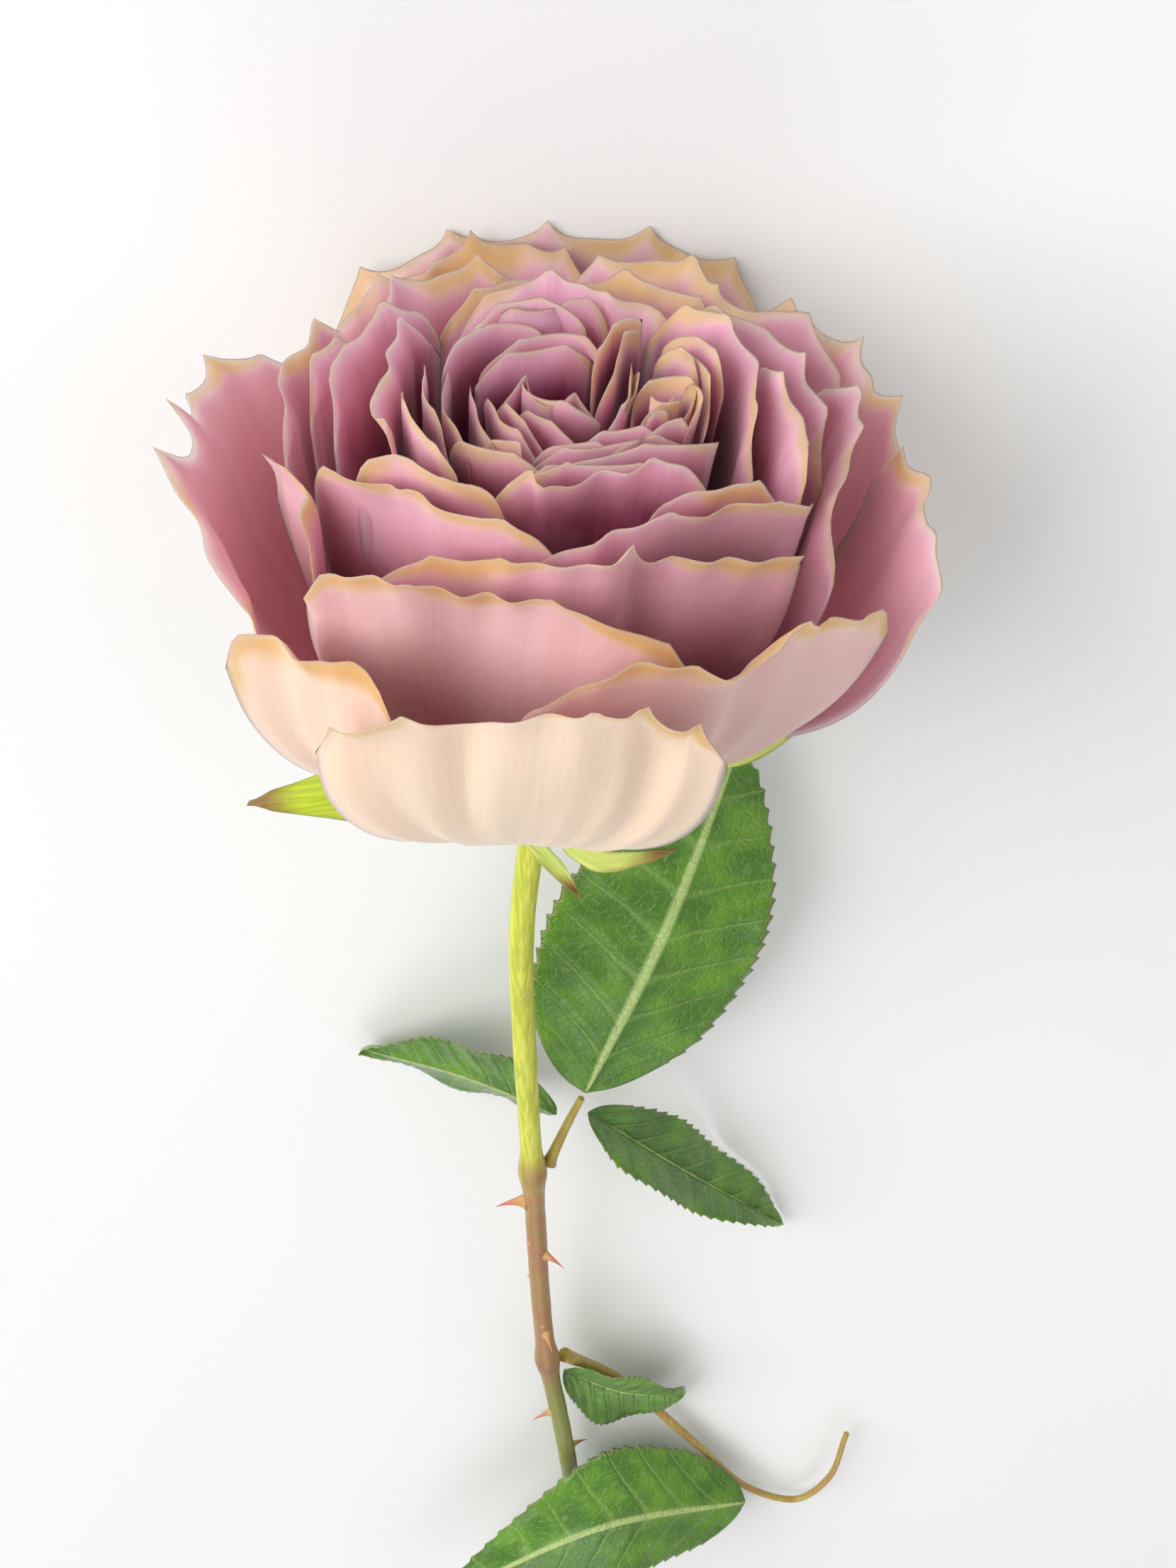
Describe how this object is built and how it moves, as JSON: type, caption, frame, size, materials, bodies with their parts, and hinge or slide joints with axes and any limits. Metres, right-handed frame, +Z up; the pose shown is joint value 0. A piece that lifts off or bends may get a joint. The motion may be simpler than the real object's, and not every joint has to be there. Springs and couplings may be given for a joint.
{
  "type": "cut rose",
  "caption": "Full-bloomed cut rose lying on its side, with crowded cupped petals, reflexed sepals and leafy green stem.",
  "frame": {"origin": "on the surface that the rose lies on, under the middle of its bounding box", "axes": "+Y along the stem from the bloom towards the cut end, +Z up, the face of the bloom towards -Y"},
  "size_m": [0.1142, 0.342, 0.096],
  "materials": {
    "petal": "velvety matte, cream to tan at the edges",
    "hip": "smooth green, softly waxy",
    "sepal": "matte green with brown tips",
    "stem": "smooth waxy bark, yellow-green turning reddish brown",
    "leaf_stalk": "smooth green",
    "leaf": "glossy dark green with pale veins"
  },
  "bodies": {
    "root": {"heart_petal_01": "petal", "heart_petal_02": "petal", "heart_petal_03": "petal", "heart_petal_04": "petal", "heart_petal_05": "petal", "heart_petal_06": "petal", "heart_petal_07": "petal", "heart_petal_08": "petal", "heart_petal_09": "petal", "heart_petal_10": "petal", "heart_petal_11": "petal", "heart_petal_12": "petal", "heart_petal_13": "petal", "heart_petal_14": "petal", "heart_petal_15": "petal", "hip": "hip", "inner_petal_01": "petal", "inner_petal_02": "petal", "inner_petal_03": "petal", "inner_petal_04": "petal", "inner_petal_05": "petal", "inner_petal_06": "petal", "lower_leaf_leaflet_front": "leaf", "lower_leaf_leaflet_left": "leaf", "lower_leaf_leaflet_right": "leaf", "lower_leaf_stalk": "leaf_stalk", "middle_petal_01": "petal", "middle_petal_02": "petal", "middle_petal_03": "petal", "middle_petal_04": "petal", "middle_petal_05": "petal", "middle_petal_06": "petal", "middle_petal_07": "petal", "middle_petal_08": "petal", "middle_petal_09": "petal", "outer_petal_01": "petal", "outer_petal_02": "petal", "outer_petal_03": "petal", "outer_petal_04": "petal", "outer_petal_05": "petal", "outer_petal_06": "petal", "outer_petal_07": "petal", "outer_petal_08": "petal", "outer_petal_09": "petal", "outer_petal_10": "petal", "outer_petal_11": "petal", "outer_petal_12": "petal", "outer_petal_13": "petal", "sepal_back": "sepal", "sepal_front": "sepal", "sepal_hanging": "sepal", "sepal_left": "sepal", "sepal_right": "sepal", "stem": "stem", "swirl_petal_1": "petal", "swirl_petal_2": "petal", "upper_leaf_leaflet_left": "leaf", "upper_leaf_leaflet_right": "leaf", "upper_leaf_leaflet_terminal": "leaf", "upper_leaf_stalk": "leaf_stalk"}
  },
  "joints": []
}
